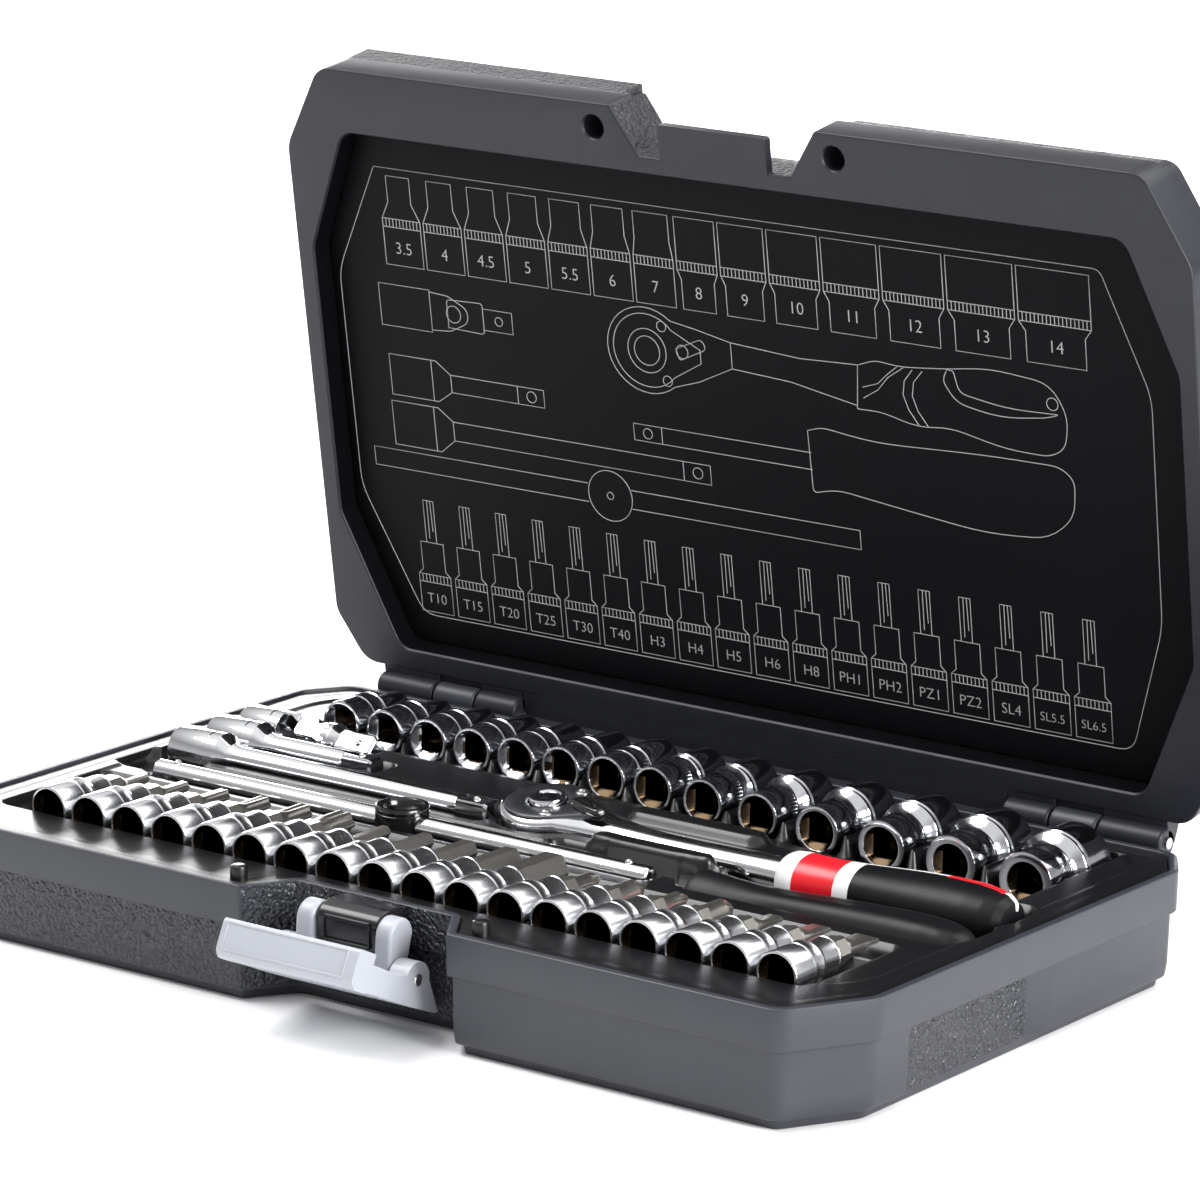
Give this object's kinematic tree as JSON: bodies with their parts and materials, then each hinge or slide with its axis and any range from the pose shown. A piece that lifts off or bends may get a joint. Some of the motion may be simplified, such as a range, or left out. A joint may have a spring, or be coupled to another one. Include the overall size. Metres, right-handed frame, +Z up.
{
  "type": "socket wrench set in case",
  "caption": "Quarter-inch drive socket wrench set in a hinged plastic case: ratchet, spinner handle, T-bar, extension bars, universal joint, hex sockets and bit sockets in a moulded tray.",
  "frame": {"origin": "centre of the base's underside", "axes": "+X to the right along the case's length, +Y to the back where the hinge is, +Z up out of the tray"},
  "size_m": [0.27, 0.2103, 0.1993],
  "materials": {
    "case_shell": "dark grey moulded plastic with a fine leather-like grain on the sunk faces",
    "lid_panel": "near-black panel printed with thin light outlines of the tools",
    "latch": "light grey-white moulded plastic, softly glossy",
    "tray": "near-black blow-moulded insert, satin with soft edges",
    "pins": "plain steel wire",
    "socket_chrome": "satin chrome with a knurled band",
    "bit_socket_chrome": "satin chrome sockets with steel bits",
    "bright_chrome": "polished chrome",
    "t_bar_slider": "black oxide, slightly glossy",
    "joint_cross": "plain machined steel",
    "black_grip": "black soft-touch moulding",
    "ratchet_steel": "satin machined steel",
    "reversing_lever": "black moulding",
    "red_band": "red plastic band with white edges"
  },
  "bodies": {
    "case": {"case_base": "case_shell", "tray": "tray", "hinge_pin_left": "pins", "hinge_pin_right": "pins", "latch_link_pin": "pins"},
    "lid": {"case_lid": "case_shell", "lid_panel": "lid_panel"},
    "latch_link": {"latch_link": "latch", "latch_lever_pin": "pins"},
    "latch_lever": {"latch_lever": "latch"},
    "ratchet": {"ratchet_body": "bright_chrome", "ratchet_cover": "ratchet_steel", "ratchet_grip": "black_grip", "ratchet_grip_band": "red_band"},
    "reversing_lever": {"ratchet_reversing_lever": "reversing_lever"},
    "ratchet_pawl": {"ratchet_pawl": "ratchet_steel"},
    "ratchet_drive": {"ratchet_drive": "ratchet_steel"},
    "release_button": {"ratchet_release_button": "bright_chrome"},
    "t_bar": {"t_bar_rod": "bright_chrome"},
    "t_bar_slider": {"t_bar_slider": "t_bar_slider"},
    "universal_joint": {"universal_joint_socket_yoke": "bright_chrome"},
    "joint_cross": {"universal_joint_cross": "joint_cross"},
    "joint_drive": {"universal_joint_drive_yoke": "bright_chrome"},
    "spinner": {"spinner_handle": "black_grip", "spinner_shank": "bright_chrome"},
    "extension_100": {"extension_bar_100mm": "bright_chrome"},
    "extension_50": {"extension_bar_50mm": "bright_chrome"},
    "socket_3_5": {"socket_3_5mm": "socket_chrome"},
    "socket_4": {"socket_4mm": "socket_chrome"},
    "socket_4_5": {"socket_4_5mm": "socket_chrome"},
    "socket_5": {"socket_5mm": "socket_chrome"},
    "socket_5_5": {"socket_5_5mm": "socket_chrome"},
    "socket_6": {"socket_6mm": "socket_chrome"},
    "socket_7": {"socket_7mm": "socket_chrome"},
    "socket_8": {"socket_8mm": "socket_chrome"},
    "socket_9": {"socket_9mm": "socket_chrome"},
    "socket_10": {"socket_10mm": "socket_chrome"},
    "socket_11": {"socket_11mm": "socket_chrome"},
    "socket_12": {"socket_12mm": "socket_chrome"},
    "socket_13": {"socket_13mm": "socket_chrome"},
    "socket_14": {"socket_14mm": "socket_chrome"},
    "bit_T10": {"bit_socket_T10": "bit_socket_chrome"},
    "bit_T15": {"bit_socket_T15": "bit_socket_chrome"},
    "bit_T20": {"bit_socket_T20": "bit_socket_chrome"},
    "bit_T25": {"bit_socket_T25": "bit_socket_chrome"},
    "bit_T30": {"bit_socket_T30": "bit_socket_chrome"},
    "bit_T40": {"bit_socket_T40": "bit_socket_chrome"},
    "bit_H3": {"bit_socket_H3": "bit_socket_chrome"},
    "bit_H4": {"bit_socket_H4": "bit_socket_chrome"},
    "bit_H5": {"bit_socket_H5": "bit_socket_chrome"},
    "bit_H6": {"bit_socket_H6": "bit_socket_chrome"},
    "bit_H8": {"bit_socket_H8": "bit_socket_chrome"},
    "bit_PH1": {"bit_socket_PH1": "bit_socket_chrome"},
    "bit_PH2": {"bit_socket_PH2": "bit_socket_chrome"},
    "bit_PZ1": {"bit_socket_PZ1": "bit_socket_chrome"},
    "bit_PZ2": {"bit_socket_PZ2": "bit_socket_chrome"},
    "bit_SL4": {"bit_socket_SL4": "bit_socket_chrome"},
    "bit_SL5_5": {"bit_socket_SL5_5": "bit_socket_chrome"},
    "bit_SL6_5": {"bit_socket_SL6_5": "bit_socket_chrome"}
  },
  "joints": [
    {"name": "lid_hinge", "type": "hinge", "parent": "case", "child": "lid", "pos_m": [0, 0.0879, 0.0295], "axis": [-1, 0, 0], "range_deg": [-80.4, 22]},
    {"name": "latch_link_pivot", "type": "hinge", "parent": "case", "child": "latch_link", "pos_m": [0, -0.0775, 0.0244], "axis": [-1, 0, 0], "range_deg": [0, 45]},
    {"name": "latch_lever_pivot", "type": "hinge", "parent": "latch_link", "child": "latch_lever", "pos_m": [0, -0.079, 0.0154], "axis": [1, 0, 0], "range_deg": [-64.7, 0]},
    {"name": "reversing_lever_pivot", "type": "hinge", "parent": "ratchet", "child": "reversing_lever", "pos_m": [-0.0005, 0.01353, 0.03294], "axis": [0, -0.1305, 0.9914], "range_deg": [0, 44]},
    {"name": "pawl_slide", "type": "slide", "parent": "ratchet", "child": "ratchet_pawl", "axis": [0, 0.9914, 0.1305], "range_m": [0, 0.0015]},
    {"name": "ratchet_drive_turn", "type": "hinge", "parent": "ratchet", "child": "ratchet_drive", "pos_m": [-0.0115, 0.01353, 0.03294], "axis": [0, -0.1305, 0.9914], "continuous": true},
    {"name": "release_button_press", "type": "slide", "parent": "ratchet_drive", "child": "release_button", "axis": [0, -0.1305, 0.9914], "range_m": [-0.001, 0], "stiffness_N_per_m": 300, "springref_m": 0.0005},
    {"name": "t_bar_slide", "type": "slide", "parent": "t_bar", "child": "t_bar_slider", "axis": [1, 0, 0], "range_m": [-0.068, 0.032]},
    {"name": "joint_socket_pivot", "type": "hinge", "parent": "universal_joint", "child": "joint_cross", "pos_m": [-0.1045, 0.0362, 0.028], "axis": [0, -0.7071, -0.7071], "range_deg": [0, 40]},
    {"name": "joint_drive_pivot", "type": "hinge", "parent": "joint_cross", "child": "joint_drive", "pos_m": [-0.1045, 0.0362, 0.028], "axis": [0, -0.7071, 0.7071], "range_deg": [0, 40]},
    {"name": "ratchet_lift", "type": "slide", "parent": "case", "child": "ratchet", "axis": [0, 0, 1], "range_m": [0, 0.06]},
    {"name": "spinner_lift", "type": "slide", "parent": "case", "child": "spinner", "axis": [0, 0, 1], "range_m": [0, 0.06]},
    {"name": "t_bar_lift", "type": "slide", "parent": "case", "child": "t_bar", "axis": [0, 0, 1], "range_m": [0, 0.06]},
    {"name": "universal_joint_lift", "type": "slide", "parent": "case", "child": "universal_joint", "axis": [0, 0, 1], "range_m": [0, 0.06]},
    {"name": "extension_100_lift", "type": "slide", "parent": "case", "child": "extension_100", "axis": [0, 0, 1], "range_m": [0, 0.06]},
    {"name": "extension_50_lift", "type": "slide", "parent": "case", "child": "extension_50", "axis": [0, 0, 1], "range_m": [0, 0.06]},
    {"name": "socket_3_5_lift", "type": "slide", "parent": "case", "child": "socket_3_5", "axis": [0, 0, 1], "range_m": [0, 0.06]},
    {"name": "socket_4_lift", "type": "slide", "parent": "case", "child": "socket_4", "axis": [0, 0, 1], "range_m": [0, 0.06]},
    {"name": "socket_4_5_lift", "type": "slide", "parent": "case", "child": "socket_4_5", "axis": [0, 0, 1], "range_m": [0, 0.06]},
    {"name": "socket_5_lift", "type": "slide", "parent": "case", "child": "socket_5", "axis": [0, 0, 1], "range_m": [0, 0.06]},
    {"name": "socket_5_5_lift", "type": "slide", "parent": "case", "child": "socket_5_5", "axis": [0, 0, 1], "range_m": [0, 0.06]},
    {"name": "socket_6_lift", "type": "slide", "parent": "case", "child": "socket_6", "axis": [0, 0, 1], "range_m": [0, 0.06]},
    {"name": "socket_7_lift", "type": "slide", "parent": "case", "child": "socket_7", "axis": [0, 0, 1], "range_m": [0, 0.06]},
    {"name": "socket_8_lift", "type": "slide", "parent": "case", "child": "socket_8", "axis": [0, 0, 1], "range_m": [0, 0.06]},
    {"name": "socket_9_lift", "type": "slide", "parent": "case", "child": "socket_9", "axis": [0, 0, 1], "range_m": [0, 0.06]},
    {"name": "socket_10_lift", "type": "slide", "parent": "case", "child": "socket_10", "axis": [0, 0, 1], "range_m": [0, 0.06]},
    {"name": "socket_11_lift", "type": "slide", "parent": "case", "child": "socket_11", "axis": [0, 0, 1], "range_m": [0, 0.06]},
    {"name": "socket_12_lift", "type": "slide", "parent": "case", "child": "socket_12", "axis": [0, 0, 1], "range_m": [0, 0.06]},
    {"name": "socket_13_lift", "type": "slide", "parent": "case", "child": "socket_13", "axis": [0, 0, 1], "range_m": [0, 0.06]},
    {"name": "socket_14_lift", "type": "slide", "parent": "case", "child": "socket_14", "axis": [0, 0, 1], "range_m": [0, 0.06]},
    {"name": "bit_T10_lift", "type": "slide", "parent": "case", "child": "bit_T10", "axis": [0, 0, 1], "range_m": [0, 0.06]},
    {"name": "bit_T15_lift", "type": "slide", "parent": "case", "child": "bit_T15", "axis": [0, 0, 1], "range_m": [0, 0.06]},
    {"name": "bit_T20_lift", "type": "slide", "parent": "case", "child": "bit_T20", "axis": [0, 0, 1], "range_m": [0, 0.06]},
    {"name": "bit_T25_lift", "type": "slide", "parent": "case", "child": "bit_T25", "axis": [0, 0, 1], "range_m": [0, 0.06]},
    {"name": "bit_T30_lift", "type": "slide", "parent": "case", "child": "bit_T30", "axis": [0, 0, 1], "range_m": [0, 0.06]},
    {"name": "bit_T40_lift", "type": "slide", "parent": "case", "child": "bit_T40", "axis": [0, 0, 1], "range_m": [0, 0.06]},
    {"name": "bit_H3_lift", "type": "slide", "parent": "case", "child": "bit_H3", "axis": [0, 0, 1], "range_m": [0, 0.06]},
    {"name": "bit_H4_lift", "type": "slide", "parent": "case", "child": "bit_H4", "axis": [0, 0, 1], "range_m": [0, 0.06]},
    {"name": "bit_H5_lift", "type": "slide", "parent": "case", "child": "bit_H5", "axis": [0, 0, 1], "range_m": [0, 0.06]},
    {"name": "bit_H6_lift", "type": "slide", "parent": "case", "child": "bit_H6", "axis": [0, 0, 1], "range_m": [0, 0.06]},
    {"name": "bit_H8_lift", "type": "slide", "parent": "case", "child": "bit_H8", "axis": [0, 0, 1], "range_m": [0, 0.06]},
    {"name": "bit_PH1_lift", "type": "slide", "parent": "case", "child": "bit_PH1", "axis": [0, 0, 1], "range_m": [0, 0.06]},
    {"name": "bit_PH2_lift", "type": "slide", "parent": "case", "child": "bit_PH2", "axis": [0, 0, 1], "range_m": [0, 0.06]},
    {"name": "bit_PZ1_lift", "type": "slide", "parent": "case", "child": "bit_PZ1", "axis": [0, 0, 1], "range_m": [0, 0.06]},
    {"name": "bit_PZ2_lift", "type": "slide", "parent": "case", "child": "bit_PZ2", "axis": [0, 0, 1], "range_m": [0, 0.06]},
    {"name": "bit_SL4_lift", "type": "slide", "parent": "case", "child": "bit_SL4", "axis": [0, 0, 1], "range_m": [0, 0.06]},
    {"name": "bit_SL5_5_lift", "type": "slide", "parent": "case", "child": "bit_SL5_5", "axis": [0, 0, 1], "range_m": [0, 0.06]},
    {"name": "bit_SL6_5_lift", "type": "slide", "parent": "case", "child": "bit_SL6_5", "axis": [0, 0, 1], "range_m": [0, 0.06]}
  ],
  "couplings": [
    {"joint": "reversing_lever_pivot", "follows": "pawl_slide", "rad_per_m": 511.96}
  ]
}
